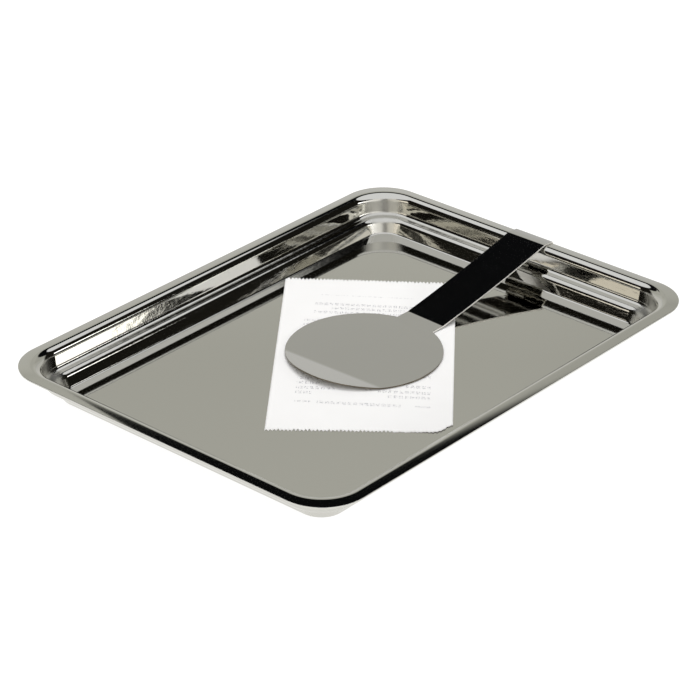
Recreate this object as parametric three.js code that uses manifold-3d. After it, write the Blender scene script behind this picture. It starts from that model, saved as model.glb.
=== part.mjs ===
// A small drawn-steel bill tray with a one-piece spring clip on its rim and a paper slip held under the clip.
// Millimetres. The origin is the centre of the tray's underside. +X runs along the tray towards the clip's
// end, +Y is to the left of that, and +Z is up.
import * as THREE from 'three';
import { mergeVertices } from 'three/addons/utils/BufferGeometryUtils.js';
import Module from 'manifold-3d';

const wasm = await Module();
wasm.setup();

// ---------------------------------------------------------------- driving sizes
const CLEARANCE = 0.2;              // left between pieces that touch on the real object

const tray = {
  length: 182,
  width: 136,
  height: 12.5,                     // from the underside to the top of the flange
  sheet: 0.6,                       // stainless sheet
  flangeWidth: 5.65,                // from the cut edge to the sharp corner with the wall
  flangeTilt: 5.5,                  // degrees, the flange falls towards its cut edge
  upperWallTilt: 8,                 // degrees from vertical, the walls lean inwards towards the floor
  lowerWallTilt: 22,
  shelfHeight: 5.5,                 // of the sharp corner between the upper wall and the shelf
  shelfTilt: 6,                     // degrees, the shelf falls towards the floor
  floorInset: 12.1,                 // of the sharp corner between the lower wall and the floor
  rimRound: 2.8,                    // bend radii, measured on the upper side of the sheet
  shelfInnerRound: 1.6,
  shelfOuterRound: 2.4,
  floorRound: 0.8,
  edgeCornerRadius: 15,             // plan radius of the corners at the cut edge,
  flangeCornerRadius: 13.1,         // at the inner end of the flange
  floorCornerRadius: 7.2,           // and at the floor
  cornerSteps: 8,
};

const clip = {
  sheet: 0.5,                       // hard-rolled spring strip
  width: 15.5,
  offset: -1.2,                     // where it stands along the rim, from the middle
  creaseInset: 4.2,                 // of the crease at the rim, from the tray's cut edge
  skew: 2.4,                        // degrees, the blade lies a little askew in the tray
  armLength: 51,                    // from the crease at the rim to the crease at the neck
  armSag: 0.7,                      // how far the middle of the arm lies below its chord
  neckLength: 7,                    // from the neck's crease to where the disc lies flat
  neckRise: 0.2,
  discCentre: 80.3,                 // from the crease at the rim
  discRadius: 25.5,
  tipFold: 98,                      // where the disc's tip turns up
  tipRise: 1.3,
  hookReturn: 2.6,                  // how far the hook reaches back under the flange
};

const slip = {
  width: 57.5,                      // standard roll paper
  length: 101,
  thickness: 0.15,
  centre: new THREE.Vector2(5.6, 1.1),
  turn: 38.5,                       // degrees from +X to its long edges
};

const rad = THREE.MathUtils.degToRad;
const slope = (degrees) => Math.tan(rad(degrees));

// ---------------------------------------------------------------- bent sheet metal
// A corner of a bent sheet, seen from its end: where its upper side turns, and with what radius.
const corner = (x, y, radius = 0) => ({ at: new THREE.Vector2(x, y), radius });

// The left-hand normal of the stretch from a to b.
const leftOf = (a, b) => {
  const along = b.clone().sub(a).normalize();
  return new THREE.Vector2(-along.y, along.x);
};

// The corners of the sheet's lower side: the upper side moved to its right by the thickness.
function offsetCorners(corners, thickness) {
  const points = corners.map((c) => c.at);
  return corners.map((c, i) => {
    const before = leftOf(points[Math.max(i - 1, 0)], points[Math.max(i, 1)]);
    const after = leftOf(points[Math.min(i, points.length - 2)], points[Math.min(i + 1, points.length - 1)]);
    const bisector = before.clone().add(after).normalize();
    const at = c.at.clone().addScaledVector(bisector, -thickness / bisector.dot(before));
    const turnsRight = before.cross(after) < 0;
    const radius = c.radius === 0 ? 0 : c.radius + (turnsRight ? -thickness : thickness);
    return { at, radius };
  });
}

// The points of a line through the corners, with each corner rounded by steps chords.
function roundedLine(corners, steps) {
  const points = [];
  corners.forEach(({ at, radius }, i) => {
    if (i === 0 || i === corners.length - 1 || radius === 0) {
      points.push(at.clone());
      return;
    }
    const toPrevious = corners[i - 1].at.clone().sub(at).normalize();
    const toNext = corners[i + 1].at.clone().sub(at).normalize();
    const halfAngle = Math.acos(THREE.MathUtils.clamp(toPrevious.dot(toNext), -1, 1)) / 2;
    const middle = toPrevious.clone().add(toNext).normalize().multiplyScalar(radius / Math.sin(halfAngle));
    const centre = at.clone().add(middle);
    const start = at.clone().addScaledVector(toPrevious, radius / Math.tan(halfAngle)).sub(centre);
    const turn = Math.PI - 2 * halfAngle;
    const direction = Math.sign(toNext.cross(toPrevious));
    for (let step = 0; step <= steps; step++) {
      const angle = direction * turn * (step / steps);
      points.push(start.clone().rotateAround(new THREE.Vector2(), angle).add(centre));
    }
  });
  return points;
}

// The closed end view of a bent sheet: its upper side, then its lower side on the way back.
function sheetSection(corners, thickness, steps) {
  const upper = roundedLine(corners, steps);
  const lower = roundedLine(offsetCorners(corners, thickness), steps);
  return { upper, lower, outline: [...upper, ...lower.toReversed()] };
}

// Extrudes an end view drawn in x and z across the given width, centred on y = 0.
function acrossWidth(outline, width) {
  const geometry = new THREE.ExtrudeGeometry(new THREE.Shape(outline), { depth: width, bevelEnabled: false });
  geometry.translate(0, 0, -width / 2);
  geometry.rotateX(Math.PI / 2);
  return geometry;
}

// ---------------------------------------------------------------- joining and cutting
function toManifold(geometry) {
  const positions = geometry.clone();
  positions.deleteAttribute('normal');
  positions.deleteAttribute('uv');
  const merged = mergeVertices(positions, 1e-4);
  return new wasm.Manifold(new wasm.Mesh({
    numProp: 3,
    vertProperties: new Float32Array(merged.getAttribute('position').array),
    triVerts: new Uint32Array(merged.getIndex().array),
  }));
}

function intersect(first, second) {
  const mesh = toManifold(first).intersect(toManifold(second)).getMesh();
  const geometry = new THREE.BufferGeometry();
  geometry.setAttribute('position', new THREE.BufferAttribute(new Float32Array(mesh.vertProperties), 3));
  geometry.setIndex(new THREE.BufferAttribute(new Uint32Array(mesh.triVerts), 1));
  return geometry;
}

// ---------------------------------------------------------------- tray shell
// The corners of the tray's wall, seen from its end: x is the inset from the cut edge, y the height.
function trayWallCorners() {
  const rimHeight = tray.height;
  const edgeHeight = rimHeight - tray.flangeWidth * slope(tray.flangeTilt);
  const shelfStart = tray.flangeWidth + (rimHeight - tray.shelfHeight) * slope(tray.upperWallTilt);
  const floor = tray.sheet;
  // The shelf meets the lower wall, which rises from the floor's corner.
  const lean = slope(tray.lowerWallTilt);
  const fall = slope(tray.shelfTilt);
  const gap = tray.floorInset - shelfStart;
  const shelfWidth = (gap - (tray.shelfHeight - floor) * lean) / (1 - fall * lean);
  const shelfEnd = shelfStart + shelfWidth;
  return [
    corner(0, edgeHeight),
    corner(tray.flangeWidth, rimHeight, tray.rimRound),
    corner(shelfStart, tray.shelfHeight, tray.shelfInnerRound),
    corner(shelfEnd, tray.shelfHeight - shelfWidth * fall, tray.shelfOuterRound),
    corner(tray.floorInset, floor, tray.floorRound),
    corner(tray.floorInset + 2, floor),
  ];
}

// The plan radius of the tray's corners falls from the cut edge to the floor.
function cornerRadius(inset) {
  const { flangeWidth, floorInset, edgeCornerRadius, flangeCornerRadius, floorCornerRadius } = tray;
  if (inset < flangeWidth) {
    return THREE.MathUtils.mapLinear(inset, 0, flangeWidth, edgeCornerRadius, flangeCornerRadius);
  }
  const held = Math.min(inset, floorInset);
  return THREE.MathUtils.mapLinear(held, flangeWidth, floorInset, flangeCornerRadius, floorCornerRadius);
}

// One ring round the tray: a rounded rectangle at the given inset and height, anticlockwise from above.
function trayRing(inset, height) {
  const radius = cornerRadius(inset);
  const halfX = tray.length / 2 - inset - radius;
  const halfY = tray.width / 2 - inset - radius;
  const ring = [];
  [[1, 1], [-1, 1], [-1, -1], [1, -1]].forEach(([sideX, sideY], quarter) => {
    for (let step = 0; step <= tray.cornerSteps; step++) {
      const angle = (quarter + step / tray.cornerSteps) * Math.PI / 2;
      const x = sideX * halfX + radius * Math.cos(angle);
      const y = sideY * halfY + radius * Math.sin(angle);
      ring.push(new THREE.Vector3(x, y, height));
    }
  });
  return ring;
}

// The wall's end view carried round the tray, closed by the floor's two sides.
function trayGeometry() {
  const { upper, lower } = sheetSection(trayWallCorners(), tray.sheet, 3);
  const fromFloorToFloor = [...upper.toReversed(), ...lower];
  const rings = fromFloorToFloor.map((point) => trayRing(point.x, point.y));
  const count = rings[0].length;
  const positions = rings.flat().flatMap((point) => [point.x, point.y, point.z]);
  const index = [];
  for (let r = 0; r + 1 < rings.length; r++) {
    for (let i = 0; i < count; i++) {
      const next = (i + 1) % count;
      const [a, b, c, d] = [r * count + i, r * count + next, (r + 1) * count + next, (r + 1) * count + i];
      index.push(a, c, b, a, d, c);
    }
  }
  // The first ring bounds the floor's upper side, the last one its underside.
  const floorRing = (ring) => ring.map((point) => new THREE.Vector2(point.x, point.y));
  const last = (rings.length - 1) * count;
  const triangles = THREE.ShapeUtils.triangulateShape(floorRing(rings[0]), []);
  triangles.forEach(([a, b, c]) => index.push(a, b, c));
  triangles.forEach(([a, b, c]) => index.push(last + a, last + c, last + b));
  const geometry = new THREE.BufferGeometry();
  geometry.setAttribute('position', new THREE.Float32BufferAttribute(positions, 3));
  geometry.setIndex(index);
  return geometry;
}

// ---------------------------------------------------------------- spring clip
const flangeTopAt = (inset) => tray.height - (tray.flangeWidth - inset) * slope(tray.flangeTilt);
const creaseX = tray.length / 2 - clip.creaseInset;
const creaseTop = flangeTopAt(clip.creaseInset) + CLEARANCE + clip.sheet;
const slipBottom = tray.sheet + CLEARANCE;
const discTop = slipBottom + slip.thickness + CLEARANCE + clip.sheet;
const seamHalf = CLEARANCE / 2;     // the blade and the hook meet at the crease
const endSkew = clip.width / 2 * slope(clip.skew);

// The hook, from the crease out over the flange, down past its cut edge and back beneath it.
function hookGeometry() {
  const top = (x) => flangeTopAt(tray.length / 2 - x) + CLEARANCE + clip.sheet;
  const outerX = tray.length / 2 + CLEARANCE + clip.sheet;
  const flangeDepth = tray.sheet / Math.cos(rad(tray.flangeTilt));
  const bottom = (x) => top(x) - flangeDepth - 2 * (CLEARANCE + clip.sheet);
  const round = clip.sheet + 0.15;
  const endX = outerX - clip.hookReturn;
  const corners = [
    corner(creaseX + seamHalf, top(creaseX + seamHalf)),
    corner(outerX, top(outerX), round),
    corner(outerX, bottom(outerX), round),
    corner(endX, bottom(endX)),
  ];
  return acrossWidth(sheetSection(corners, clip.sheet, 4).outline, clip.width);
}

// The blade seen from above, along -X from the crease: arm, neck and disc. Its end runs along the rim.
function bladePlan() {
  const half = clip.width / 2;
  const meet = Math.asin(half / clip.discRadius);
  const plan = new THREE.Shape();
  plan.moveTo(-seamHalf + endSkew, -half);
  plan.lineTo(-seamHalf - endSkew, half);
  plan.absarc(-clip.discCentre, 0, clip.discRadius, meet, 2 * Math.PI - meet, false);
  plan.closePath();
  return plan;
}

// The blade seen from its side, from the crease at the rim down to the disc and its turned-up tip.
function bladeSide() {
  const armEnd = -clip.armLength;
  const neckTop = discTop + clip.neckRise;
  const flatStart = armEnd - clip.neckLength;
  const armMiddle = (creaseTop + neckTop) / 2 - clip.armSag;
  const riseAtRim = (creaseTop - armMiddle) / (clip.armLength / 2);
  const bladeEnd = -(clip.discCentre + clip.discRadius) - 1;
  const tipReach = clip.discCentre + clip.discRadius - clip.tipFold;
  const tipEnd = discTop + clip.tipRise * (-clip.tipFold - bladeEnd) / tipReach;
  const corners = [
    corner(bladeEnd, tipEnd),
    corner(-clip.tipFold, discTop, 8),
    corner(flatStart, discTop, 12),
    corner(armEnd, neckTop, 1),
    corner(armEnd / 2, armMiddle, 260),
    corner(1, creaseTop + riseAtRim),
  ];
  return sheetSection(corners, clip.sheet, 5).outline;
}

function bladeGeometry() {
  const side = acrossWidth(bladeSide(), 2 * clip.discRadius + 2);
  const reach = creaseTop + 4;
  const planSettings = { depth: reach, bevelEnabled: false, curveSegments: 24 };
  const plan = new THREE.ExtrudeGeometry(bladePlan(), planSettings);
  return intersect(side, plan);
}

// ---------------------------------------------------------------- paper slip
function slipGeometry() {
  return new THREE.BoxGeometry(slip.length, slip.width, slip.thickness);
}

// ---------------------------------------------------------------- assembly
const polishedSteel = { color: 0xa3a29a, roughness: 0.08, metalness: 1 };
const springSteel = { color: 0x9d9c96, roughness: 0.1, metalness: 1 };
const thermalPaper = { color: 0xf5f4f1, roughness: 0.75, metalness: 0 };

function piece(name, geometry, finish) {
  const flatShaded = geometry.index ? geometry.toNonIndexed() : geometry;
  flatShaded.computeVertexNormals();
  const mesh = new THREE.Mesh(flatShaded, new THREE.MeshStandardMaterial(finish));
  mesh.name = name;
  return mesh;
}

const object = new THREE.Group();

object.add(piece('tray_shell', trayGeometry(), polishedSteel));

const clipPlace = new THREE.Group();
clipPlace.position.y = clip.offset;
clipPlace.add(piece('clip_hook', hookGeometry(), springSteel));
const blade = piece('clip_blade', bladeGeometry(), springSteel);
blade.position.x = creaseX;
blade.rotation.z = -rad(clip.skew);
clipPlace.add(blade);
object.add(clipPlace);

const paper = piece('receipt_slip', slipGeometry(), thermalPaper);
paper.position.set(slip.centre.x, slip.centre.y, slipBottom + slip.thickness / 2);
paper.rotation.z = rad(slip.turn);
object.add(paper);

export default object;
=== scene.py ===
# %% [markdown]
# # A bill tray with a clip
# A waiter's bill tray is two pieces of stainless steel. The tray is drawn from one sheet: a flat floor, a
# wall in two steps and a flange. The clip is one strip of spring steel. It hooks on the flange and presses
# a disc on the floor, where it holds a printed slip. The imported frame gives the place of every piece.

# %% Load the frame
import math
import random

import bmesh
import bpy
from mathutils import Matrix, Vector


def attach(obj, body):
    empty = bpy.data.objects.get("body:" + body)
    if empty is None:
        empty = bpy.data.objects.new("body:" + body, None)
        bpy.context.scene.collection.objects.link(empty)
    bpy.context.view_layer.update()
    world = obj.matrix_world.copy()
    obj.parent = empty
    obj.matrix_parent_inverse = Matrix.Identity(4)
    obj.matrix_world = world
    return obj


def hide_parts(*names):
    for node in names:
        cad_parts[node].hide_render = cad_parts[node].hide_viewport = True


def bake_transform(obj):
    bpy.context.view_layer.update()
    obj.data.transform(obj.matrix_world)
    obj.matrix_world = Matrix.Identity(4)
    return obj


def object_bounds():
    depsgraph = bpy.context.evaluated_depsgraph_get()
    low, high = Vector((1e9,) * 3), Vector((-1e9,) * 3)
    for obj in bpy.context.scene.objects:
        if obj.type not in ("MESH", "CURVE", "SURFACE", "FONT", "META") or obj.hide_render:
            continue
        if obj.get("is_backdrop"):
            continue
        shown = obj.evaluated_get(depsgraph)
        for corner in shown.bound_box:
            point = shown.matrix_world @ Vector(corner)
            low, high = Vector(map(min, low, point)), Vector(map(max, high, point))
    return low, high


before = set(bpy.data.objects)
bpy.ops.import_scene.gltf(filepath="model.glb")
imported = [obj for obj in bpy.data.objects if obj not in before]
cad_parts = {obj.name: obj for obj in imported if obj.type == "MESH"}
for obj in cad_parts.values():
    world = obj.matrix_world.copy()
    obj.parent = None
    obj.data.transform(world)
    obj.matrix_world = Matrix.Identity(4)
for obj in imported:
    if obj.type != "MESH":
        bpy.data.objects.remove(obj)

cad_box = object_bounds()
MM = 0.001
scene = bpy.context.scene
print("frame size, mm:", [round(v / MM, 1) for v in cad_box[1] - cad_box[0]])

# %% [markdown]
# ## Helpers
# Node trees are long when every node is written out, so one function adds a node, sets it up and links it.
# Colours are written as sRGB hex values, as a paint program shows them, and one function turns them to the
# linear light that Blender's shaders work in.


# %% Helpers
def linear(hex_colour, alpha=1.0):
    """An sRGB hex colour as linear red, green, blue and alpha."""
    channels = [int(hex_colour[i:i + 2], 16) / 255 for i in (1, 3, 5)]
    curve = [c / 12.92 if c <= 0.04045 else ((c + 0.055) / 1.055) ** 2.4 for c in channels]
    return (*curve, alpha)


def add_node(tree, kind, inputs=None, **settings):
    """Adds a node. Each input is named or numbered, and takes a socket to link or a value to set."""
    node = tree.nodes.new(kind)
    for name, value in settings.items():
        setattr(node, name, value)
    for name, value in (inputs or {}).items():
        if isinstance(value, bpy.types.NodeSocket):
            tree.links.new(value, node.inputs[name])
        else:
            node.inputs[name].default_value = value
    return node


def direction(azimuth, elevation):
    """The unit vector at an azimuth, in degrees from +X towards +Y, and an elevation."""
    a, e = math.radians(azimuth), math.radians(elevation)
    return Vector((math.cos(a) * math.cos(e), math.sin(a) * math.cos(e), math.sin(e)))


def link_object(name, mesh):
    """A new object with that mesh, at the origin."""
    made = bpy.data.objects.new(name, mesh)
    scene.collection.objects.link(made)
    return made


def settle(made):
    """Turns an object's modifiers into plain mesh."""
    evaluated = made.evaluated_get(bpy.context.evaluated_depsgraph_get())
    mesh = bpy.data.meshes.new_from_object(evaluated)
    made.modifiers.clear()
    made.data = mesh
    print(made.name, "has", sum(len(p.vertices) - 2 for p in mesh.polygons), "triangles")
    return made


# %% [markdown]
# ## Camera
# Small goods are usually shot with a long lens from about a metre away, which keeps their sides nearly
# parallel. The camera looks down at the tray over its near corner.

# %% Camera
CAMERA_AZIMUTH = 220.875
CAMERA_ELEVATION = 28.43
CAMERA_ROLL = 0.19
CAMERA_PLACE = Vector((-586.87, -505.41, 424.11)) * MM

camera_data = bpy.data.cameras.new("camera")
camera_data.lens = 142.17
camera_data.clip_start = 0.01
camera = bpy.data.objects.new("camera", camera_data)
scene.collection.objects.link(camera)
towards_camera = direction(CAMERA_AZIMUTH, CAMERA_ELEVATION)
roll = Matrix.Rotation(math.radians(CAMERA_ROLL), 3, "Z").to_quaternion()
turn = towards_camera.to_track_quat("Z", "Y") @ roll
camera.location = CAMERA_PLACE
camera.rotation_euler = turn.to_euler()
scene.camera = camera
print("camera is", round(CAMERA_PLACE.length / MM), "mm from the tray's middle")

# %% [markdown]
# ## Studio
# Polished steel shows the room more than itself, so the room matters as much as the steel. A grey board
# stands behind the tray and ends in a hard edge. Above it is a dark gap, and then a white ceiling. Long
# reflectors at the right and the left light the walls, and two softer panels stand beside the camera. The
# world shader draws them all by direction, because a direction is all that a reflection needs, and it
# costs nothing to trace.

# %% Studio world
world = bpy.data.worlds.new("studio")
scene.world = world
world.use_nodes = True
sky = world.node_tree
sky.nodes.clear()


def softbox_group():
    """A soft-edged rectangle of light on the sky, from -half to +half of its azimuth and elevation."""
    group = bpy.data.node_groups.new("softbox", "ShaderNodeTree")
    names = ("Azimuth", "Elevation", "Middle azimuth", "Middle elevation")
    for name in names + ("Half width", "Half height", "Blur"):
        group.interface.new_socket(name, in_out="INPUT", socket_type="NodeSocketFloat")
    group.interface.new_socket("Light", in_out="OUTPUT", socket_type="NodeSocketFloat")
    given = add_node(group, "NodeGroupInput").outputs
    sides = []
    for axis, half in (("Azimuth", "Half width"), ("Elevation", "Half height")):
        middle = given["Middle " + axis.lower()]
        away = add_node(group, "ShaderNodeMath", {0: given[axis], 1: middle}, operation="SUBTRACT")
        turned = {0: away.outputs[0], 1: 180.0, 2: -180.0}
        turned = add_node(group, "ShaderNodeMath", turned, operation="WRAP")
        apart = add_node(group, "ShaderNodeMath", {0: turned.outputs[0]}, operation="ABSOLUTE")
        outer = add_node(group, "ShaderNodeMath", {0: given[half], 1: given["Blur"]}, operation="ADD")
        ramp = {"Value": apart.outputs[0], "From Min": outer.outputs[0], "From Max": given[half]}
        side = add_node(group, "ShaderNodeMapRange", ramp, interpolation_type="SMOOTHSTEP")
        sides.append(side.outputs[0])
    light = add_node(group, "ShaderNodeMath", {0: sides[0], 1: sides[1]}, operation="MULTIPLY")
    add_node(group, "NodeGroupOutput", {"Light": light.outputs[0]})
    return group


view = add_node(sky, "ShaderNodeTexCoord").outputs["Generated"]
axes = add_node(sky, "ShaderNodeSeparateXYZ", {0: view}).outputs
height = add_node(sky, "ShaderNodeMath", {0: axes[2]}, operation="ARCSINE").outputs[0]
heading = add_node(sky, "ShaderNodeMath", {0: axes[1], 1: axes[0]}, operation="ARCTAN2").outputs[0]
elevation = add_node(sky, "ShaderNodeMath", {0: height}, operation="DEGREES").outputs[0]
azimuth = add_node(sky, "ShaderNodeMath", {0: heading}, operation="DEGREES").outputs[0]

# the board's brightness by elevation, in degrees, up to its top edge at 36, and the dark gap above it
BOARD = [(0, "#dededb"), (11, "#dddcd6"), (17, "#d9d9d7"), (20, "#cecec9"), (25, "#cdcdc6"),
         (28.5, "#c1c1ba"), (32, "#c6c6bf"), (35.4, "#c4c4bd"), (36.5, "#0e0f10"), (90, "#08090b")]
# left of azimuth 52.6 the board is 4 degrees taller
taller = {"Value": azimuth, "From Min": 52.45, "From Max": 52.8, "To Max": -4.0}
taller = add_node(sky, "ShaderNodeMapRange", taller).outputs[0]
board_height = add_node(sky, "ShaderNodeMath", {0: elevation, 1: taller}, operation="ADD").outputs[0]
share = add_node(sky, "ShaderNodeMath", {0: board_height, 1: 90.0}, operation="DIVIDE").outputs[0]
board = add_node(sky, "ShaderNodeValToRGB", {0: share})
stops = board.color_ramp.elements
while len(stops) < len(BOARD):
    stops.new(0.5)
for stop, (degrees, colour) in zip(stops, BOARD):
    stop.position = degrees / 90
    stop.color = linear(colour)
# it is dimmer towards its right end
falloff = {"Value": azimuth, "From Min": 29.0, "From Max": 37.0, "To Min": 0.9}
falloff = add_node(sky, "ShaderNodeMapRange", falloff).outputs[0]
board_light = {0: board.outputs[0], 3: falloff}
board_light = add_node(sky, "ShaderNodeVectorMath", board_light, operation="SCALE").outputs[0]

softbox = softbox_group()


def softbox_at(middle_azimuth, middle_elevation, half_width, half_height, blur):
    """One softbox on the sky, as the strength of its light."""
    node = sky.nodes.new("ShaderNodeGroup")
    node.node_tree = softbox
    sky.links.new(azimuth, node.inputs["Azimuth"])
    sky.links.new(elevation, node.inputs["Elevation"])
    sizes = (middle_azimuth, middle_elevation, half_width, half_height, blur)
    for socket, value in zip(list(node.inputs)[2:], sizes):
        socket.default_value = value
    return node.outputs[0]


behind_tray = softbox_at(45, 20, 50, 40, 12)
dark = linear("#1b1a16")
light = {"Factor": behind_tray, 6: dark, 7: board_light}
light = add_node(sky, "ShaderNodeMix", light, data_type="RGBA").outputs[2]
# a white ceiling above it all, whose edge is highest over the middle of the board
apart = add_node(sky, "ShaderNodeMath", {0: azimuth, 1: 48.0}, operation="SUBTRACT").outputs[0]
apart = add_node(sky, "ShaderNodeMath", {0: apart, 1: 180.0, 2: -180.0}, operation="WRAP").outputs[0]
apart = add_node(sky, "ShaderNodeMath", {0: apart}, operation="ABSOLUTE").outputs[0]
raised = {0: apart, 1: 0.065, 2: elevation}
raised = add_node(sky, "ShaderNodeMath", raised, operation="MULTIPLY_ADD").outputs[0]
ceiling = {"Value": raised, "From Min": 50.8, "From Max": 52.4}
ceiling = add_node(sky, "ShaderNodeMapRange", ceiling, interpolation_type="SMOOTHSTEP").outputs[0]
white = linear("#fbfcff")
light = {"Factor": ceiling, 6: light, 7: white}
light = add_node(sky, "ShaderNodeMix", light, data_type="RGBA").outputs[2]
# each softbox: azimuth, elevation, half width, half height and blur in degrees, its colour and its strength
SOFTBOXES = {
    "right reflector": ((-84, 19, 33.5, 5.1, 0.6), "#fffefc", 3.2),
    "left reflector": ((174, 21, 27.2, 8.9, 0.8), "#fff7e9", 1.2),
    "right of camera": ((-112, 20, 14, 18, 4), "#fffdf8", 1.3),
    "left of camera": ((-164, 20, 12, 18, 4), "#f8f4ea", 1.1),
}
for sizes, colour, strength in SOFTBOXES.values():
    glow = (*[channel * strength for channel in linear(colour)[:3]], 1)
    mask = softbox_at(*sizes)
    light = add_node(sky, "ShaderNodeMix", {"Factor": mask, 6: light, 7: glow}, data_type="RGBA").outputs[2]
shown = add_node(sky, "ShaderNodeBackground", {"Color": light, "Strength": 1.0})
add_node(sky, "ShaderNodeOutputWorld", {"Surface": shown.outputs[0]})
print("studio: a board, a ceiling,", ", ".join(SOFTBOXES))

# %% [markdown]
# The floor is pale and glows a little, as a lit sweep does, so the tray's own shadow is faint. The key
# light makes that shadow and lights the paper. It is hidden from reflections, which would show it as a
# white square.

# %% Floor and key light
FLOOR_SIDE = 6.0
floor_mesh = bpy.data.meshes.new("studio_floor")
half = FLOOR_SIDE / 2
floor_corners = [(-half, -half, 0), (half, -half, 0), (half, half, 0), (-half, half, 0)]
floor_mesh.from_pydata(floor_corners, [], [(0, 1, 2, 3)])
studio_floor = link_object("studio_floor", floor_mesh)
sweep = bpy.data.materials.new("matt_white_sweep")
sweep.use_nodes = True
sweep_shader = sweep.node_tree.nodes["Principled BSDF"]
sweep_shader.inputs["Base Color"].default_value = linear("#807f7d")
sweep_shader.inputs["Roughness"].default_value = 0.9
sweep_shader.inputs["Specular IOR Level"].default_value = 0.0
sweep_shader.inputs["Emission Color"].default_value = linear("#ffffff")
sweep_shader.inputs["Emission Strength"].default_value = 0.92
floor_mesh.materials.append(sweep)
studio_floor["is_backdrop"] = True

key_data = bpy.data.lights.new("key", "AREA")
key_data.shape = "RECTANGLE"
key_data.size = 0.8
key_data.size_y = 0.6
key_data.energy = 6
key = bpy.data.objects.new("key", key_data)
key.location = (0.45, 0.35, 1.0)
key.rotation_euler = Vector(key.location).to_track_quat("Z", "Y").to_euler()
key.visible_glossy = False
scene.collection.objects.link(key)
scene.view_settings.view_transform = "Standard"
print("floor", FLOOR_SIDE, "m wide, key light", round(key.location.length, 2), "m away")

# %% [markdown]
# ## Polished stainless steel
# Both steel pieces are cold-rolled stainless with a bright, nearly mirror finish. What gives it away as
# metal is what was done to it. Drawing the walls leaves short marks that run down them and a slight ripple
# that breaks up their reflections. The floor stays as it was rolled, with a faint long wave and fine
# hairlines from wiping. Bright stainless reflects about 60% of the light, a little less of the blue.


# %% Polished stainless steel
def bright_steel(name, colour, roughness, wave_mm, hairline_axis, drawn):
    """Rolled bright steel. Where the mesh's 'drawn' attribute is 1, the drawing marks show as well."""
    steel = bpy.data.materials.new(name)
    steel.use_nodes = True
    tree = steel.node_tree
    shader = tree.nodes["Principled BSDF"]
    shader.inputs["Base Color"].default_value = linear(colour)
    shader.inputs["Metallic"].default_value = 1.0
    place = add_node(tree, "ShaderNodeTexCoord").outputs["Object"]

    # a long, very shallow wave left by the rolls
    wave = {"Vector": place, "Scale": 1 / (wave_mm * MM), "Detail": 1.0}
    wave = add_node(tree, "ShaderNodeTexNoise", wave)
    bump = {"Height": wave.outputs[0], "Strength": 1.0, "Distance": 0.008 * MM}
    normal = add_node(tree, "ShaderNodeBump", bump).outputs[0]

    # hairlines from wiping, 20 mm long and 0.3 mm apart, which is coarser than life, where they are too fine
    # to show
    stretch = [1 / (0.3 * MM)] * 3
    stretch[hairline_axis] = 1 / (20 * MM)
    lines_place = add_node(tree, "ShaderNodeMapping", {"Vector": place, "Scale": stretch}).outputs[0]
    lines = add_node(tree, "ShaderNodeTexNoise", {"Vector": lines_place, "Scale": 1.0, "Detail": 2.0})
    rough_range = {"Value": lines.outputs[0], "From Min": 0.35, "From Max": 0.75}
    rough_range |= {"To Min": roughness * 0.8, "To Max": roughness * 1.3}
    rough = add_node(tree, "ShaderNodeMapRange", rough_range).outputs[0]

    if drawn:
        mask = add_node(tree, "ShaderNodeAttribute", attribute_name="drawn").outputs["Fac"]
        # marks down the wall, 0.45 mm apart, coarser than life so that they show, and a ripple 6 mm long
        for scales, depth in (((0.45, 0.45, 9), 0.0028), ((6, 6, 2.5), 0.03)):
            steps = [1 / (s * MM) for s in scales]
            marks_place = add_node(tree, "ShaderNodeMapping", {"Vector": place, "Scale": steps}).outputs[0]
            marks = {"Vector": marks_place, "Scale": 1.0, "Detail": 3.0}
            marks = add_node(tree, "ShaderNodeTexNoise", marks)
            bump = {"Height": marks.outputs[0], "Strength": mask, "Distance": depth * MM, "Normal": normal}
            normal = add_node(tree, "ShaderNodeBump", bump).outputs[0]
        drawn_rough = {"Factor": mask, 2: rough, 3: roughness}
        rough = add_node(tree, "ShaderNodeMix", drawn_rough).outputs[0]
        # a stretched corner turns matt, like the skin of an orange
        corner = add_node(tree, "ShaderNodeAttribute", attribute_name="stretched").outputs["Fac"]
        rough = add_node(tree, "ShaderNodeMix", {"Factor": corner, 2: rough, 3: 0.34}).outputs[0]

    tree.links.new(rough, shader.inputs["Roughness"])
    tree.links.new(normal, shader.inputs["Normal"])
    return steel


tray_steel = bright_steel("bright_drawn_stainless", "#cecdc7", 0.05, 35, 0, True)
clip_steel = bright_steel("bright_rolled_spring_stainless", "#c9c8c5", 0.06, 18, 0, False)
print("materials:", tray_steel.name, clip_steel.name)

# %% [markdown]
# The clip's cut edges aren't polished, so they get steels of their own. The arm's sides were slit from the
# coil. A slit edge is torn rather than cut for half its depth, so it is matt; its near-white colour is a
# painted highlight, for the bright line that light leaves along it beside the mirror faces. The disc's
# punched edge
# is painted dark brown: painted shade, for the shadow under its edge and the shaded paper that it reflects.

# %% Slit edge, with a painted highlight
slit_edge_highlight = bpy.data.materials.new("slit_stainless_edge_painted_highlight")
slit_edge_highlight.use_nodes = True
tree = slit_edge_highlight.node_tree
shader = tree.nodes["Principled BSDF"]
shader.inputs["Metallic"].default_value = 0.2
shader.inputs["Roughness"].default_value = 0.5
place = add_node(tree, "ShaderNodeTexCoord").outputs["Object"]
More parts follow.
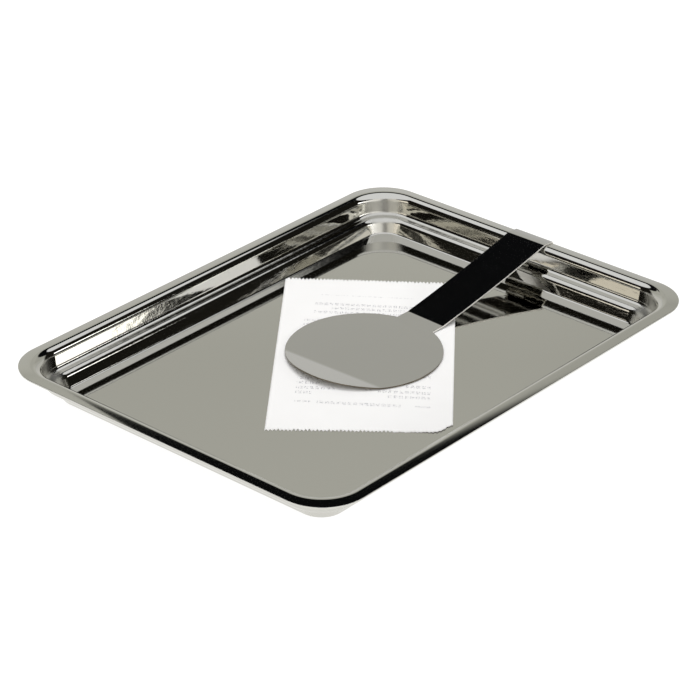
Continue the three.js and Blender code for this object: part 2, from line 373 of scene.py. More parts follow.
# tear marks about 0.2 mm apart run through the sheet's thickness
tear_steps = [1 / (0.2 * MM), 1 / (0.2 * MM), 1 / (2 * MM)]
tears = add_node(tree, "ShaderNodeMapping", {"Vector": place, "Scale": tear_steps}).outputs[0]
tears = add_node(tree, "ShaderNodeTexNoise", {"Vector": tears, "Scale": 1.0, "Detail": 2.0}).outputs[0]
# near-white shades: a painted highlight for the bright line along the slit edge, varied by the tear marks
tear_highlight_shades = {"Factor": tears, 6: linear("#eeebe2"), 7: linear("#fdfbf6")}
tear_highlight_colour = add_node(tree, "ShaderNodeMix", tear_highlight_shades, data_type="RGBA").outputs[2]
tree.links.new(tear_highlight_colour, shader.inputs["Base Color"])
tear_bump = {"Height": tears, "Strength": 0.6, "Distance": 0.02 * MM}
tear_bump = add_node(tree, "ShaderNodeBump", tear_bump).outputs[0]
tree.links.new(tear_bump, shader.inputs["Normal"])
print("material:", slit_edge_highlight.name)

# %% Punched edge, with painted shade
punched_edge_shade = bpy.data.materials.new("punched_stainless_edge_painted_shade")
punched_edge_shade.use_nodes = True
tree = punched_edge_shade.node_tree
shader = tree.nodes["Principled BSDF"]
shader.inputs["Metallic"].default_value = 1.0
shader.inputs["Roughness"].default_value = 0.3
place = add_node(tree, "ShaderNodeTexCoord").outputs["Object"]
# painted shade, dark brown, for the shadow under the disc's edge; it comes and goes over about 4 mm
edge_shade_noise = {"Vector": place, "Scale": 1 / (4 * MM), "Detail": 3.0}
edge_shade_noise = add_node(tree, "ShaderNodeTexNoise", edge_shade_noise).outputs[0]
edge_shade_colours = {"Factor": edge_shade_noise, 6: linear("#4b4439"), 7: linear("#837b6c")}
edge_shade_colour = add_node(tree, "ShaderNodeMix", edge_shade_colours, data_type="RGBA").outputs[2]
tree.links.new(edge_shade_colour, shader.inputs["Base Color"])
print("material:", punched_edge_shade.name)

# %% [markdown]
# ## Tray
# The tray is pressed from one flat sheet, so its profile, from the cut edge down to the floor, is the same
# all the way round. What changes is the corners: the sheet has to flow round them, so their plan radius
# shrinks from the cut edge to the floor. The profile is written as corners, each with the radius of its
# bend.

# %% Tray profile
TRAY_LENGTH, TRAY_WIDTH, TRAY_HEIGHT, TRAY_SHEET = 182, 136, 12.5, 0.6
FLANGE_WIDTH, FLANGE_TILT = 5.65, 5.5
UPPER_WALL_TILT, SHELF_TILT, LOWER_WALL_TILT = 8, 6, 22
SHELF_HEIGHT, FLOOR_INSET = 5.5, 12.1
EDGE_CORNER, FLANGE_CORNER, FLOOR_CORNER = 15, 13.1, 7.2


def slope(degrees):
    return math.tan(math.radians(degrees))


def flange_top(inset):
    """The height of the flange's upper side, that far in from the tray's edge."""
    return TRAY_HEIGHT - (FLANGE_WIDTH - inset) * slope(FLANGE_TILT)


shelf_inset = FLANGE_WIDTH + (TRAY_HEIGHT - SHELF_HEIGHT) * slope(UPPER_WALL_TILT)
shelf_room = FLOOR_INSET - shelf_inset - (SHELF_HEIGHT - TRAY_SHEET) * slope(LOWER_WALL_TILT)
shelf_fall = shelf_room / (1 / slope(SHELF_TILT) - slope(LOWER_WALL_TILT))
shoulder_height = SHELF_HEIGHT - shelf_fall
shoulder_inset = shelf_inset + shelf_fall / slope(SHELF_TILT)

# inset, height and bend radius of each corner of the sheet's upper side, in mm
TRAY_PROFILE = [
    (0, flange_top(0), 0),
    (FLANGE_WIDTH, TRAY_HEIGHT, 2.8),
    (shelf_inset, SHELF_HEIGHT, 1.6),
    (shoulder_inset, shoulder_height, 2.4),
    (FLOOR_INSET, TRAY_SHEET, 0.8),
    (FLOOR_INSET + 2, TRAY_SHEET, 0),
]
profile_mesh = bpy.data.meshes.new("tray_profile")
corners = [Vector((inset, 0, height)) * MM for inset, height, radius in TRAY_PROFILE]
profile_mesh.from_pydata(corners, [(i, i + 1) for i in range(len(corners) - 1)], [])
radii = profile_mesh.attributes.new("bend_radius", "FLOAT", "POINT")
radii.data.foreach_set("value", [radius * MM for inset, height, radius in TRAY_PROFILE])
print("profile, mm:", [(round(a, 2), round(b, 2)) for a, b, c in TRAY_PROFILE])

# %% [markdown]
# Geometry Nodes suit the tray, since the whole piece follows that one rule. The tree rounds the profile's
# corners with Fillet Curve, lays it out as a grid with one column for each station round the tray, and
# moves each point to its place. The floor is one flat face on the innermost ring.

# %% Tray node tree
press = bpy.data.node_groups.new("pressed_tray", "GeometryNodeTree")
press.interface.new_socket("Profile", in_out="INPUT", socket_type="NodeSocketGeometry")
PRESS_SIZES = {
    "Length": TRAY_LENGTH * MM,
    "Width": TRAY_WIDTH * MM,
    "Flange width": FLANGE_WIDTH * MM,
    "Floor inset": FLOOR_INSET * MM,
    "Edge corner radius": EDGE_CORNER * MM,
    "Flange corner radius": FLANGE_CORNER * MM,
    "Floor corner radius": FLOOR_CORNER * MM,
}
for name in PRESS_SIZES:
    press.interface.new_socket(name, in_out="INPUT", socket_type="NodeSocketFloat")
press.interface.new_socket("Corner steps", in_out="INPUT", socket_type="NodeSocketInt")
press.interface.new_socket("Bend steps", in_out="INPUT", socket_type="NodeSocketInt")
press.interface.new_socket("Steel", in_out="INPUT", socket_type="NodeSocketMaterial")
press.interface.new_socket("Tray", in_out="OUTPUT", socket_type="NodeSocketGeometry")
given = add_node(press, "NodeGroupInput").outputs

# the profile as a curve with rounded corners, and how many points it has
line = add_node(press, "GeometryNodeMeshToCurve", {0: given["Profile"]}).outputs[0]
radius = add_node(press, "GeometryNodeInputNamedAttribute", {"Name": "bend_radius"}, data_type="FLOAT")
fillet = {"Curve": line, "Radius": radius.outputs[0], "Count": given["Bend steps"], "Limit Radius": True}
rounded = add_node(press, "GeometryNodeFilletCurve", fillet, mode="POLY").outputs[0]
rows = add_node(press, "GeometryNodeAttributeDomainSize", {0: rounded}, component="CURVE")
rows = rows.outputs["Point Count"]

# a grid: its rows are the profile's points, and its columns are the stations round the tray
steps = given["Corner steps"]
per_corner = add_node(press, "FunctionNodeIntegerMath", {0: steps, 1: 1}, operation="ADD").outputs[0]
stations = add_node(press, "FunctionNodeIntegerMath", {0: per_corner, 1: 4}, operation="MULTIPLY").outputs[0]
columns = add_node(press, "FunctionNodeIntegerMath", {0: stations, 1: 1}, operation="ADD").outputs[0]
grid = add_node(press, "GeometryNodeMeshGrid", {"Vertices X": columns, "Vertices Y": rows}).outputs[0]
index = add_node(press, "GeometryNodeInputIndex").outputs[0]
row = add_node(press, "FunctionNodeIntegerMath", {0: index, 1: rows}, operation="MODULO").outputs[0]
column = add_node(press, "FunctionNodeIntegerMath", {0: index, 1: rows}, operation="DIVIDE_FLOOR").outputs[0]
where = add_node(press, "GeometryNodeInputPosition").outputs[0]
sampled = {"Geometry": rounded, "Value": where, "Index": row}
sample = add_node(press, "GeometryNodeSampleIndex", sampled, data_type="FLOAT_VECTOR").outputs[0]
profile_point = add_node(press, "ShaderNodeSeparateXYZ", {0: sample}).outputs
inset = profile_point[0]

# which corner the station is in, as a sign on each axis, and the angle that it has turned through
station = {0: column, 1: per_corner}
corner = add_node(press, "FunctionNodeIntegerMath", station, operation="DIVIDE_FLOOR").outputs[0]
step = add_node(press, "FunctionNodeIntegerMath", station, operation="MODULO").outputs[0]
turned = add_node(press, "ShaderNodeMath", {0: step, 1: steps}, operation="DIVIDE").outputs[0]
quarters = add_node(press, "ShaderNodeMath", {0: corner, 1: turned}, operation="ADD").outputs[0]
angle = add_node(press, "ShaderNodeMath", {0: quarters, 1: math.pi / 2}, operation="MULTIPLY").outputs[0]
middles = add_node(press, "ShaderNodeMath", {0: corner, 1: 0.5}, operation="ADD").outputs[0]
diagonal = add_node(press, "ShaderNodeMath", {0: middles, 1: math.pi / 2}, operation="MULTIPLY").outputs[0]

# the plan radius at this inset, in two straight ranges
outer = {"Value": inset, "From Max": given["Flange width"], "To Min": given["Edge corner radius"]}
outer = add_node(press, "ShaderNodeMapRange", outer | {"To Max": given["Flange corner radius"]}).outputs[0]
inner = {"Value": inset, "From Min": given["Flange width"], "From Max": given["Floor inset"], "To Min": 0.0}
drop = {0: given["Floor corner radius"], 1: given["Flange corner radius"]}
drop = add_node(press, "ShaderNodeMath", drop, operation="SUBTRACT").outputs[0]
inner = add_node(press, "ShaderNodeMapRange", inner | {"To Max": drop}).outputs[0]
plan_radius = add_node(press, "ShaderNodeMath", {0: outer, 1: inner}, operation="ADD").outputs[0]
taken = add_node(press, "ShaderNodeMath", {0: inset, 1: plan_radius}, operation="ADD").outputs[0]

# each point is its corner's centre plus the radius at that angle
axes = []
for size, curve in (("Length", "COSINE"), ("Width", "SINE")):
    half = add_node(press, "ShaderNodeMath", {0: given[size], 1: 0.5}, operation="MULTIPLY").outputs[0]
    reach = add_node(press, "ShaderNodeMath", {0: half, 1: taken}, operation="SUBTRACT").outputs[0]
    side = add_node(press, "ShaderNodeMath", {0: diagonal}, operation=curve).outputs[0]
    sign = add_node(press, "ShaderNodeMath", {0: side}, operation="SIGN").outputs[0]
    centre = add_node(press, "ShaderNodeMath", {0: sign, 1: reach}, operation="MULTIPLY").outputs[0]
    part = add_node(press, "ShaderNodeMath", {0: angle}, operation=curve).outputs[0]
    placed = {0: part, 1: plan_radius, 2: centre}
    axes.append(add_node(press, "ShaderNodeMath", placed, operation="MULTIPLY_ADD").outputs[0])
point = add_node(press, "ShaderNodeCombineXYZ", {0: axes[0], 1: axes[1], 2: profile_point[2]}).outputs[0]
wall = add_node(press, "GeometryNodeSetPosition", {"Geometry": grid, "Position": point}).outputs[0]

# the floor: one flat face whose points are the last row of the grid
disc = add_node(press, "GeometryNodeMeshCircle", {"Vertices": stations}, fill_type="NGON").outputs[0]
around = add_node(press, "GeometryNodeInputIndex").outputs[0]
last = add_node(press, "FunctionNodeIntegerMath", {0: rows, 1: 1}, operation="SUBTRACT").outputs[0]
ring = {0: around, 1: rows, 2: last}
ring = add_node(press, "FunctionNodeIntegerMath", ring, operation="MULTIPLY_ADD").outputs[0]
ring_point = {"Geometry": wall, "Value": where, "Index": ring}
ring_point = add_node(press, "GeometryNodeSampleIndex", ring_point, data_type="FLOAT_VECTOR").outputs[0]
floor = add_node(press, "GeometryNodeSetPosition", {"Geometry": disc, "Position": ring_point}).outputs[0]

# 1 on the walls, where the sheet was drawn, and 0 on the flange and the floor
is_wall = {0: inset, 1: given["Flange width"]}
is_wall = add_node(press, "FunctionNodeCompare", is_wall, operation="GREATER_THAN")
not_floor = {0: inset, 1: given["Floor inset"]}
not_floor = add_node(press, "FunctionNodeCompare", not_floor, operation="LESS_THAN")
on_wall = {0: is_wall.outputs[0], 1: not_floor.outputs[0]}
on_wall = add_node(press, "FunctionNodeBooleanMath", on_wall, operation="AND").outputs[0]
stored = dict(data_type="FLOAT", domain="POINT")
marked = {"Geometry": wall, "Name": "drawn", "Value": on_wall}
marked = add_node(press, "GeometryNodeStoreNamedAttribute", marked, **stored).outputs[0]

# 1 in the middle of each drawn corner, where the sheet was stretched most
bow = add_node(press, "ShaderNodeMath", {0: turned, 1: 0.5}, operation="SUBTRACT").outputs[0]
bow = add_node(press, "ShaderNodeMath", {0: bow}, operation="ABSOLUTE").outputs[0]
bow = {"Value": bow, "From Min": 0.5, "From Max": 0.2, "To Max": 1.0}
bow = add_node(press, "ShaderNodeMapRange", bow, interpolation_type="SMOOTHSTEP").outputs[0]
stretched = add_node(press, "ShaderNodeMath", {0: bow, 1: on_wall}, operation="MULTIPLY").outputs[0]
marked = {"Geometry": marked, "Name": "stretched", "Value": stretched}
marked = add_node(press, "GeometryNodeStoreNamedAttribute", marked, **stored).outputs[0]

joined = press.nodes.new("GeometryNodeJoinGeometry")
press.links.new(floor, joined.inputs[0])
press.links.new(marked, joined.inputs[0])
sewn = {0: joined.outputs[0], "Distance": 0.001 * MM}
sewn = add_node(press, "GeometryNodeMergeByDistance", sewn).outputs[0]
real = add_node(press, "GeometryNodeRealizeInstances", {0: sewn}).outputs[0]
painted = {"Geometry": real, "Material": given["Steel"]}
painted = add_node(press, "GeometryNodeSetMaterial", painted).outputs[0]
add_node(press, "NodeGroupOutput", {"Tray": painted})
print("tree has", len(press.nodes), "nodes")

# %% [markdown]
# The tree gives the upper side of the sheet. Solidify gives it its thickness downwards, and a small bevel
# takes the sharpness off the cut edge, as tumbling does. A mirror shows every error in its normals, so
# Weighted Normal keeps the flat faces exactly flat and leaves the turning to the bends.

# %% Tray piece
tray = link_object("tray", profile_mesh)
pressing = tray.modifiers.new("press", "NODES")
pressing.node_group = press
named = {item.name: item.identifier for item in press.interface.items_tree if item.in_out == "INPUT"}
for name, value in PRESS_SIZES.items():
    pressing[named[name]] = value
pressing[named["Corner steps"]] = 20
pressing[named["Bend steps"]] = 10
pressing[named["Steel"]] = tray_steel
settle(tray)
up_side = sum(p.area * p.normal.z for p in tray.data.polygons)
if up_side < 0:
    tray.data.flip_normals()
print("upper side faces", "down, turned over" if up_side < 0 else "up")

thicken = tray.modifiers.new("thickness", "SOLIDIFY")
thicken.thickness = TRAY_SHEET * MM
thicken.offset = -1
thicken.use_even_offset = True
edges = tray.modifiers.new("cut edge", "BEVEL")
edges.width = 0.12 * MM
edges.segments = 2
edges.angle_limit = math.radians(50)
flats = tray.modifiers.new("flats", "WEIGHTED_NORMAL")
flats.weight = 100
tray.data.shade_smooth()
settle(tray)
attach(tray, "tray")
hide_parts("tray_shell")

# %% [markdown]
# ## Clip
# The clip is blanked from spring strip: a long arm that ends in a disc, which is then bent. Folding a flat
# outline is also the simplest way to model it. The outline is one face, cut along every bend line, and then
# each point is lifted by the bends that lie between it and the disc.

# %% Clip sizes
CLIP_SHEET, CLIP_WIDTH, CLIP_OFFSET, CLIP_SKEW = 0.5, 15.5, -1.2, 2.4
CREASE_INSET = 4.2
ARM_LENGTH, ARM_SAG, NECK_RISE = 51, 0.5, 0.2
DISC_CENTRE, DISC_RADIUS = 80.3, 25.5
HOOK_RETURN, HOOK_BEND = 2.6, 0.65
TOUCH = 0.05
SLIP_LIFT = 0.3
disc_top = TRAY_SHEET + SLIP_LIFT + CLIP_SHEET
crease_x = TRAY_LENGTH / 2 - CREASE_INSET
crease_top = flange_top(CREASE_INSET) + TOUCH + CLIP_SHEET
arm_slope = (crease_top - disc_top - NECK_RISE) / ARM_LENGTH
sag_slope = 4 * ARM_SAG / ARM_LENGTH
neck_slope = NECK_RISE / 7
disc_half_chord = math.sqrt(DISC_RADIUS ** 2 - CLIP_WIDTH ** 2 / 4)

# each bend: its distance along the strip, the turn of its line in degrees, the slope that it adds on its
# far side, half the length that it is spread over, and which way is far: 1 towards the tip, -1 the rim
BENDS = [
    (96.6, 4.3, 0.165, 0.7, 1),
    (58.0, -6, neck_slope, 0.8, -1),
    (ARM_LENGTH, 0, arm_slope - sag_slope - neck_slope, 0.4, -1),
    (ARM_LENGTH / 2, 0, 2 * sag_slope, ARM_LENGTH / 2 - 0.6, -1),
]


def past_bend(along, across, at, turn):
    """How far a point of the flat strip lies past a bend line, towards the tip."""
    return (along - at) * math.cos(math.radians(turn)) - across * math.sin(math.radians(turn))


def strip_height(along, across):
    """The height of the strip's upper side, from the crease at the rim out to the tip."""
    straighten = across * slope(CLIP_SKEW) * min(max(1 - along / ARM_LENGTH, 0), 1)
    height = disc_top
    for at, turn, rise, reach, far in BENDS:
        past = far * past_bend(along - straighten, across, at, turn)
        if past > reach:
            height += rise * past
        elif past > -reach:
            height += rise * (past + reach) ** 2 / (4 * reach)
    return height


print("crease at the rim, mm:", round(strip_height(0, 0), 2), "of", round(crease_top, 2))

# %% [markdown]
# The hook turns back under the flange, where a height over the plan can't describe it. Its points follow a
# rounded path instead, each as far along the path as it lies past the crease on the flat strip.

# %% Hook path


def rounded_path(corners, radii, steps):
    """A polyline whose inner corners are arcs of those radii."""
    path = [corners[0]]
    for before, at, after, radius in zip(corners, corners[1:], corners[2:], radii):
        back, on = (before - at).normalized(), (after - at).normalized()
        opening = back.angle(on)
        reach = radius / math.tan(opening / 2)
        middle = at + (back + on).normalized() * radius / math.sin(opening / 2)
        start, end = at + back * reach - middle, at + on * reach - middle
        for i in range(steps + 1):
            path.append(middle + start.normalized().slerp(end.normalized(), i / steps) * radius)
    return path + [corners[-1]]


hook_outer = TRAY_LENGTH / 2 + TOUCH + CLIP_SHEET
hook_top = flange_top(TRAY_LENGTH / 2 - hook_outer) + TOUCH + CLIP_SHEET
hook_depth = TRAY_SHEET / math.cos(math.radians(FLANGE_TILT)) + 2 * (TOUCH + CLIP_SHEET)
hook_end = hook_outer - HOOK_RETURN
hook_corners = [
    Vector((crease_x, 0, crease_top)),
    Vector((hook_outer, 0, hook_top)),
    Vector((hook_outer, 0, hook_top - hook_depth)),
    Vector((hook_end, 0, flange_top(TRAY_LENGTH / 2 - hook_end) + TOUCH + CLIP_SHEET - hook_depth)),
]
hook_path = rounded_path(hook_corners, [HOOK_BEND] * 2, 6)
hook_distance = [0.0]
for a, b in zip(hook_path, hook_path[1:]):
    hook_distance.append(hook_distance[-1] + (b - a).length)
print("the hook uses", round(hook_distance[-1], 2), "mm of strip")


def on_hook(distance):
    """The point of the hook's outer side at that distance past the crease."""
    for a, b, da, db in zip(hook_path, hook_path[1:], hook_distance, hook_distance[1:]):
        if distance <= db + 1e-6:
            return a.lerp(b, (distance - da) / (db - da))
    return hook_path[-1]


# %% [markdown]
# The blank is cut wherever a bend starts, turns or ends, so that its faces bend along clean lines.
# Solidify and Bevel finish it as they did the tray.

# %% Clip blank
blank = bmesh.new()
half_width = CLIP_WIDTH / 2
end_skew = half_width * slope(CLIP_SKEW)
outline = [(-hook_distance[-1] + side * end_skew, side * half_width) for side in (1, -1)]
meet = math.asin(half_width / DISC_RADIUS)
DISC_STEPS = 120
for i in range(DISC_STEPS + 1):
    angle = -math.pi + meet + (2 * math.pi - 2 * meet) * i / DISC_STEPS
    outline.append((DISC_CENTRE + DISC_RADIUS * math.cos(angle), DISC_RADIUS * math.sin(angle)))
blank.faces.new([blank.verts.new((along, across, 0)) for along, across in outline])

cuts = [(-distance, CLIP_SKEW) for distance in hook_distance[1:-1]] + [(0, CLIP_SKEW)]
for at, turn, rise, reach, far in BENDS:
    # the arm's long sag takes many cuts, which turn from the crease's line to the neck's
    is_sag = reach > 5
    count = 24 if is_sag else 4
    for i in range(count + 1):
        station = at + reach * (2 * i / count - 1)
        cuts.append((station, CLIP_SKEW * (1 - station / ARM_LENGTH) if is_sag else turn))
for at, turn in cuts:
    everything = blank.verts[:] + blank.edges[:] + blank.faces[:]
    across_line = (math.cos(math.radians(turn)), -math.sin(math.radians(turn)), 0)
    bmesh.ops.bisect_plane(blank, geom=everything, plane_co=(at, 0, 0), plane_no=across_line, dist=1e-4)
print("blank has", len(blank.faces), "faces after", len(cuts), "cuts")

# %% Clip piece
skew = math.radians(CLIP_SKEW)
for vert in blank.verts:
    along, across = vert.co.x, vert.co.y
    past_crease = across * math.tan(skew) - along
    if past_crease > 0:
        vert.co = on_hook(past_crease) + Vector((0, CLIP_OFFSET + across, 0))
    else:
        x = crease_x - along * math.cos(skew) + across * math.sin(skew)
        y = CLIP_OFFSET + along * math.sin(skew) + across * math.cos(skew)
        vert.co = (x, y, strip_height(along, across))
    vert.co *= MM
clip_mesh = bpy.data.meshes.new("clip")
blank.to_mesh(clip_mesh)
blank.free()
if sum(p.area * p.normal.z for p in clip_mesh.polygons) < 0:
    clip_mesh.flip_normals()
clip_mesh.materials.append(clip_steel)
clip_mesh.materials.append(slit_edge_highlight)
clip_mesh.materials.append(punched_edge_shade)
clip = link_object("clip", clip_mesh)
thicken = clip.modifiers.new("thickness", "SOLIDIFY")
thicken.thickness = CLIP_SHEET * MM
thicken.offset = -1
thicken.use_even_offset = True
edges = clip.modifiers.new("blanked edge", "BEVEL")
edges.width = 0.1 * MM
edges.segments = 2
edges.angle_limit = math.radians(50)
flats = clip.modifiers.new("flats", "WEIGHTED_NORMAL")
flats.weight = 100
flats.keep_sharp = True
clip.data.shade_smooth()
clip.data.set_sharp_from_angle(angle=math.radians(14))
settle(clip)
# the arm's two long sides were slit from the coil, and its disc was punched afterwards
neck_x = (crease_x - DISC_CENTRE + disc_half_chord) * MM
# material 2, on the disc's punched edge, is painted shade; material 1, on the arm's slit sides, is a painted
# highlight
for face in clip.data.polygons:
    if face.center.x < neck_x and abs(face.normal.z) < 0.5:
        face.material_index = 2
    elif face.center.x > neck_x and abs(face.normal.y) > 0.6:
        face.material_index = 1

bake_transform(clip)
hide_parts("clip_hook", "clip_blade")

# %% [markdown]
# ## Slip
# The slip is thermal paper from a 57.5 mm roll, torn off on a toothed blade, so both short ends are rows
# of small teeth. One corner was torn away and curls up. It is laid out as a grid in its own width and
# length, with two columns for each tooth, and each point is then placed on the tray's floor.

# %% Slip shape
SLIP_WIDTH, SLIP_LENGTH, SLIP_SHEET = 57.5, 101.0, 0.06
SLIP_TURN = 38.5
SLIP_CENTRE = Vector((5.6, 1.1))
# fewer and deeper teeth than a real tear bar leaves, so that they show
TEETH, TOOTH_DEPTH = 48, 1.7
SLIP_ROWS = 72
# the two ends lean by about one in fifty, and the corner past TORN_FROM was torn away
NEAR_LEAN, FAR_LEAN, FAR_END = 0.02, 0.021, 103.6
RAGGED_FROM, TORN_FROM = 39, 52.8
SHEET_RANGE = 104
random.seed(4)
tooth_wear = [random.uniform(0.55, 1.0) for i in range(2 * TEETH + 1)]


def near_end(across, column):
    """Where the slip's near end is, along its length, with its teeth and its torn corner."""
    tooth = TOOTH_DEPTH * tooth_wear[column] if column % 2 else 0
    ragged = across > RAGGED_FROM
    torn = max(across - TORN_FROM, 0) + 0.16 * math.sin(across * 1.7) * ragged
    blunt = 0.45 if ragged else 1
    return NEAR_LEAN * across + tooth * blunt + torn


def far_end(across, column):
    """Where its far end is, with its teeth."""
    tooth = TOOTH_DEPTH * tooth_wear[-1 - column] if column % 2 else 0
    return FAR_END - FAR_LEAN * across - tooth


def paper_height(along, across):
    """How high the paper lies: a slight wave, and the lip that curls up at the torn corner."""
    wave = 0.05 + 0.03 * math.sin(along * 0.11 + 1) * math.sin(across * 0.13 + along * 0.02)
    lip = 0.3 * max(across - 45, 0) / 12.5 * max(1 - along / 8, 0)
    return wave * min(along / 6 + 0.3, 1) + lip


slip_turn = math.radians(SLIP_TURN)
lengthwise = Vector((math.cos(slip_turn), math.sin(slip_turn)))
sideways = Vector((math.sin(slip_turn), -math.cos(slip_turn)))
slip_corner = SLIP_CENTRE - lengthwise * SLIP_LENGTH / 2 - sideways * SLIP_WIDTH / 2
columns = 2 * TEETH + 1
points, layout = [], []
for i in range(SLIP_ROWS + 1):
    for j in range(columns):
        across = SLIP_WIDTH * j / (columns - 1)
        share = i / SLIP_ROWS
        along = near_end(across, j) * (1 - share) + far_end(across, j) * share
        plan = slip_corner + lengthwise * along + sideways * across
        top = TRAY_SHEET + SLIP_SHEET + paper_height(along, across)
        points.append((plan.x * MM, plan.y * MM, top * MM))
        layout.append((across / SLIP_WIDTH, along / SHEET_RANGE))
faces = []
for i in range(SLIP_ROWS):
    for j in range(columns - 1):
        first = i * columns + j
        faces.append((first, first + 1, first + columns + 1, first + columns))
slip_mesh = bpy.data.meshes.new("slip")
slip_mesh.from_pydata(points, [], faces)
uv = slip_mesh.uv_layers.new(name="paper")
for loop in slip_mesh.loops:
    uv.data[loop.index].uv = layout[loop.vertex_index]
if slip_mesh.polygons[0].normal.z < 0:
    slip_mesh.flip_normals()
print("slip has", TEETH, "teeth", round(SLIP_WIDTH / TEETH, 2), "mm apart at each end")

# %% [markdown]
# Thermal paper is smooth and faintly glossy on its coated side, and matt on its back. Its print is grey
# dashes in rows, with no words: short marks in cells as wide as a printed character. The paper's own UV
# map carries them, so they turn and bend with the sheet.

# %% Thermal paper
paper = bpy.data.materials.new("coated_thermal_paper")
paper.use_nodes = True
tree = paper.node_tree
shader = tree.nodes["Principled BSDF"]
shader.inputs["Roughness"].default_value = 0.55
shader.inputs["Specular IOR Level"].default_value = 0.35
sheet_uv = add_node(tree, "ShaderNodeUVMap", uv_map="paper").outputs[0]
sheet_mm = {0: sheet_uv, 1: (SLIP_WIDTH, SHEET_RANGE, 1)}
sheet_mm = add_node(tree, "ShaderNodeVectorMath", sheet_mm, operation="MULTIPLY").outputs[0]
across, along, none = add_node(tree, "ShaderNodeSeparateXYZ", {0: sheet_mm}).outputs
# the printer fed the paper a little askew, so rows of print lean by one in twenty
leaned = {0: across, 1: 0.05, 2: along}
leaned = add_node(tree, "ShaderNodeMath", leaned, operation="MULTIPLY_ADD").outputs[0]
print("material:", paper.name)

# %% Rows of print


def print_row_group():
    """A band across the paper: 1 between its two ends and within its height."""
    group = bpy.data.node_groups.new("print_row", "ShaderNodeTree")
    for name in ("Across", "Along", "Row", "Start", "End", "Height"):
        group.interface.new_socket(name, in_out="INPUT", socket_type="NodeSocketFloat")
    group.interface.new_socket("Band", in_out="OUTPUT", socket_type="NodeSocketFloat")
    given = add_node(group, "NodeGroupInput").outputs
    band = {0: given["Along"], 1: given["Row"], 2: given["Height"]}
    band = add_node(group, "ShaderNodeMath", band, operation="COMPARE").outputs[0]
    after = {0: given["Across"], 1: given["Start"]}
    after = add_node(group, "ShaderNodeMath", after, operation="GREATER_THAN").outputs[0]
    before = {0: given["Across"], 1: given["End"]}
    before = add_node(group, "ShaderNodeMath", before, operation="LESS_THAN").outputs[0]
    both = add_node(group, "ShaderNodeMath", {0: after, 1: before}, operation="MULTIPLY").outputs[0]
    cut = add_node(group, "ShaderNodeMath", {0: both, 1: band}, operation="MULTIPLY").outputs[0]
    add_node(group, "NodeGroupOutput", {"Band": cut})
    return group


# rows of print, in mm: place along the paper, start and end across it, and half the height of the marks
CHARACTER_MM = 1.76
PRINT_ROWS = [
    (91.9, 12.6, 44, 0.16), (85.4, 11, 49, 0.85), (82.6, 16.5, 41, 0.85), (79.6, 11, 40, 0.85),
    (73.5, 8, 24, 0.85), (73.5, 37, 50.3, 0.85), (70.5, 8, 21, 0.85), (70.5, 40, 50.3, 0.85),
    (64.5, 8, 28, 0.85), (61.5, 8, 19, 0.85), (61.5, 35, 50.3, 0.85), (55.5, 8, 50.3, 0.16),
    (49.5, 8, 30, 0.85), (46.5, 8, 26, 0.85), (46.5, 42, 50.3, 0.85),
    (34.3, 8, 12.5, 0.85), (38.4, 47.5, 50.3, 0.85), (31.5, 8, 16, 0.85), (31.7, 42.5, 50.3, 0.85),
    (28.3, 8, 20.2, 0.85), (28, 33.6, 50.3, 0.85), (25.2, 8, 13, 0.85), (24.9, 36.5, 50.3, 0.85),
    (19.3, 8, 13, 0.5), (19.3, 15, 41.2, 0.85), (19.3, 45.3, 50.3, 0.5),
]
print_row = print_row_group()
printed = None
for row, start, end, height in PRINT_ROWS:
    node = tree.nodes.new("ShaderNodeGroup")
    node.node_tree = print_row
    tree.links.new(across, node.inputs["Across"])
    tree.links.new(leaned, node.inputs["Along"])
    for name, value in (("Row", row), ("Start", start), ("End", end), ("Height", height)):
        node.inputs[name].default_value = value
    band = node.outputs[0]
    if printed is not None:
        band = add_node(tree, "ShaderNodeMath", {0: printed, 1: band}, operation="MAXIMUM").outputs[0]
    printed = band

print("print rows:", len(PRINT_ROWS))

# %% Strokes of print
# strokes inside the character cells, and a gap after each cell
strokes_place = {"Vector": sheet_mm, "Scale": (1 / 0.36, 1 / 0.62, 1)}
strokes_place = add_node(tree, "ShaderNodeMapping", strokes_place).outputs[0]
strokes = {"Vector": strokes_place, "Scale": 1.0, "Detail": 0.0}
strokes = add_node(tree, "ShaderNodeTexNoise", strokes).outputs[0]
strokes = {"Value": strokes, "From Min": 0.5, "From Max": 0.58}
strokes = add_node(tree, "ShaderNodeMapRange", strokes).outputs[0]
cell = add_node(tree, "ShaderNodeMath", {0: across, 1: CHARACTER_MM}, operation="DIVIDE").outputs[0]
within = add_node(tree, "ShaderNodeMath", {0: cell}, operation="FRACT").outputs[0]
inked = add_node(tree, "ShaderNodeMath", {0: within, 1: 0.74}, operation="LESS_THAN").outputs[0]
marks = add_node(tree, "ShaderNodeMath", {0: strokes, 1: inked}, operation="MULTIPLY").outputs[0]
marks = add_node(tree, "ShaderNodeMath", {0: marks, 1: printed}, operation="MULTIPLY").outputs[0]
faint = add_node(tree, "ShaderNodeMath", {0: marks, 1: 0.6}, operation="MULTIPLY").outputs[0]
cloud = {"Vector": sheet_mm, "Scale": 1 / 14, "Detail": 2.0}
cloud = add_node(tree, "ShaderNodeTexNoise", cloud).outputs[0]
shades = {"Factor": cloud, 6: linear("#f6f5f3"), 7: linear("#faf9f8")}
sheet_colour = add_node(tree, "ShaderNodeMix", shades, data_type="RGBA").outputs[2]
inks = {"Factor": faint, 6: sheet_colour, 7: linear("#8d8b92")}
printed_colour = add_node(tree, "ShaderNodeMix", inks, data_type="RGBA").outputs[2]
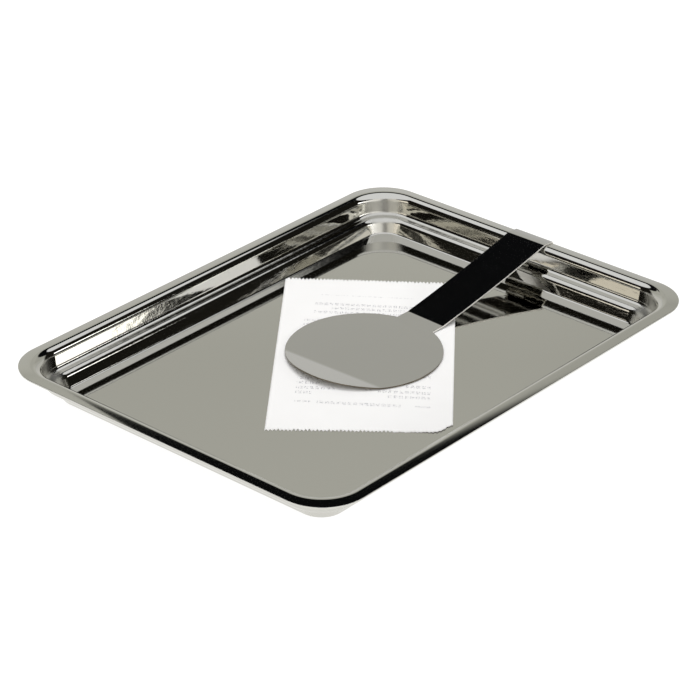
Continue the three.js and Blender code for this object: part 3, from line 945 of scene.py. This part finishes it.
tree.links.new(printed_colour, shader.inputs["Base Color"])
# fibres 0.4 mm apart, coarser than real ones, so that they show
fibres = {"Vector": sheet_mm, "Scale": 1 / 0.4, "Detail": 3.0}
fibres = add_node(tree, "ShaderNodeTexNoise", fibres).outputs[0]
fibre_bump = {"Height": fibres, "Strength": 0.5, "Distance": 0.01 * MM}
fibre_bump = add_node(tree, "ShaderNodeBump", fibre_bump).outputs[0]
tree.links.new(fibre_bump, shader.inputs["Normal"])

# %% Paper back
back = bpy.data.materials.new("uncoated_paper_back")
back.use_nodes = True
back_shader = back.node_tree.nodes["Principled BSDF"]
back_shader.inputs["Roughness"].default_value = 0.8
# fuzz 0.5 mm apart, coarser than real fibres, so that it shows
fuzz = add_node(back.node_tree, "ShaderNodeTexNoise", {"Scale": 1 / (0.5 * MM), "Detail": 3.0}).outputs[0]
fuzz_shades = {"Factor": fuzz, 6: linear("#efeeea"), 7: linear("#f6f5f2")}
fuzz_colour = add_node(back.node_tree, "ShaderNodeMix", fuzz_shades, data_type="RGBA").outputs[2]
back.node_tree.links.new(fuzz_colour, back_shader.inputs["Base Color"])
print("material:", back.name)

# %% [markdown]
# Solidify makes the sheet two-sided, with the back's finish below and on its cut edges. The slip was laid
# flat on the tray.

# %% Slip piece
slip_mesh.materials.append(paper)
slip_mesh.materials.append(back)
slip = link_object("slip", slip_mesh)
thicken = slip.modifiers.new("thickness", "SOLIDIFY")
thicken.thickness = SLIP_SHEET * MM
thicken.offset = -1
thicken.material_offset = 1
thicken.material_offset_rim = 1
slip.data.shade_smooth()
settle(slip)
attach(slip, "slip")
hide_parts("receipt_slip")

# %% [markdown]
# ## Sizes
# The box of the frame and the box of the looks are both printed. The looks have to stay inside the
# box of the frame.

# %% Sizes
visual_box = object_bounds()
boxes = {"cad": [list(v) for v in cad_box], "visual": [list(v) for v in visual_box]}
for name, (low, high) in boxes.items():
    print(name, "box, mm:", [round(v / MM, 2) for v in low], [round(v / MM, 2) for v in high])
